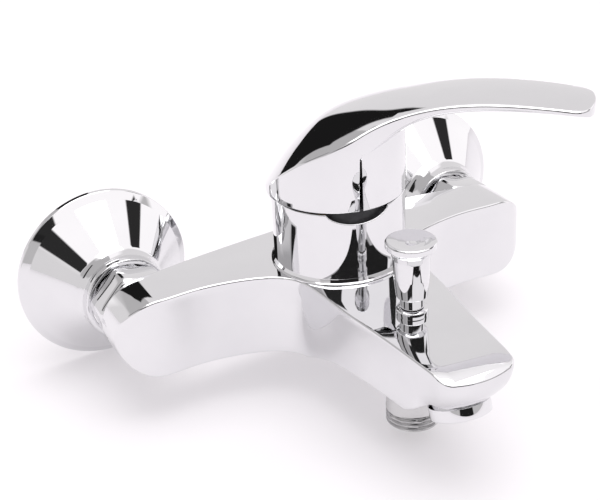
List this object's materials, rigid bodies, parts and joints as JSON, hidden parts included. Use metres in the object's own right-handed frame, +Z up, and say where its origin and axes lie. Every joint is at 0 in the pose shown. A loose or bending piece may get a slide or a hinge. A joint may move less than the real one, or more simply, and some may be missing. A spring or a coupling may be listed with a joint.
{
  "type": "wall mounted bath faucet",
  "caption": "Chromed wall mounted bath and shower mixer with a single swivelling lever, pull-up diverter on the spout, shower outlet below and trumpet covers over eccentric unions.",
  "frame": {"origin": "centre of the left (hot) wall stud, on the face of the finished wall", "axes": "+X to the right for a person who faces the wall, +Y into the wall along the studs, +Z up; the spout points along -Y"},
  "size_m": [0.222, 0.1845, 0.1232],
  "materials": {
    "chrome_body": "mirror polished chrome plate over cast brass",
    "chrome_lever": "mirror polished chrome plate over die cast zinc",
    "chrome_knob": "mirror polished chrome plate",
    "chrome_flange": "mirror polished chrome plate over pressed sheet",
    "chrome_nut": "polished chrome plate with softened corners",
    "chrome_nipple": "bright chrome plate over turned brass",
    "chrome_trim": "bright chrome plate",
    "brass": "turned, unplated",
    "steel": "drawn stainless",
    "black_rubber": "moulded, matt",
    "black_plastic": "moulded",
    "white_plastic": "moulded acetal",
    "ceramic": "lapped alumina ceramic"
  },
  "bodies": {
    "fixture": {"body_casting": "chrome_body", "cartridge_base": "black_plastic", "cartridge_seals": "black_rubber", "disc_fixed": "ceramic", "cartridge_housing": "white_plastic", "retaining_nut": "brass", "bonnet_ring": "black_plastic", "diverter_gland": "chrome_trim", "gland_oring": "black_rubber", "diverter_spring": "steel", "shower_nipple": "chrome_nipple", "shower_check_valve": "white_plastic", "aerator_housing": "chrome_trim", "aerator_insert": "white_plastic", "aerator_washer": "black_rubber", "union_left": "chrome_nut", "inlet_nipple_left": "brass", "union_washer_left": "black_rubber", "check_valve_left": "white_plastic", "escutcheon_left": "chrome_flange", "union_right": "chrome_nut", "inlet_nipple_right": "brass", "union_washer_right": "black_rubber", "check_valve_right": "white_plastic", "escutcheon_right": "chrome_flange"},
    "rotor": {"cartridge_rotor": "black_plastic", "tilt_pin": "steel"},
    "handle": {"lever": "chrome_lever", "lever_spindle": "brass", "set_screw": "steel", "index_plug": "chrome_trim"},
    "disc": {"disc_moving": "ceramic", "disc_carrier": "white_plastic"},
    "diverter": {"diverter_knob": "chrome_knob", "diverter_stem": "brass", "diverter_valve": "black_rubber"},
    "nut_left": {"union_nut_left": "chrome_nut"},
    "nut_right": {"union_nut_right": "chrome_nut"}
  },
  "joints": [
    {"name": "lever_swivel", "type": "hinge", "parent": "fixture", "child": "rotor", "pos_m": [0.075, -0.0676, 0.028], "axis": [0, 0, 1], "range_deg": [-100, 0]},
    {"name": "lever_tilt", "type": "hinge", "parent": "rotor", "child": "handle", "pos_m": [0.07194, -0.06503, 0.028], "axis": [0.6428, 0.766, 0], "range_deg": [-25, 0]},
    {"name": "disc_slide", "type": "slide", "parent": "rotor", "child": "disc", "axis": [0.766, -0.6428, 0], "range_m": [-0.0001, 0.0038]},
    {"name": "diverter_pull", "type": "slide", "parent": "fixture", "child": "diverter", "axis": [0, 0, 1], "range_m": [0, 0.007], "stiffness_N_per_m": 150, "deforming": ["diverter_spring"]},
    {"name": "nut_left_spin", "type": "hinge", "parent": "fixture", "child": "nut_left", "pos_m": [0, -0.0353, -0.008], "axis": [0, 1, 0], "continuous": true},
    {"name": "nut_right_spin", "type": "hinge", "parent": "fixture", "child": "nut_right", "pos_m": [0.15, -0.0353, -0.008], "axis": [0, 1, 0], "continuous": true}
  ],
  "couplings": [
    {"joint": "disc_slide", "follows": "lever_tilt", "m_per_rad": -0.00825}
  ]
}
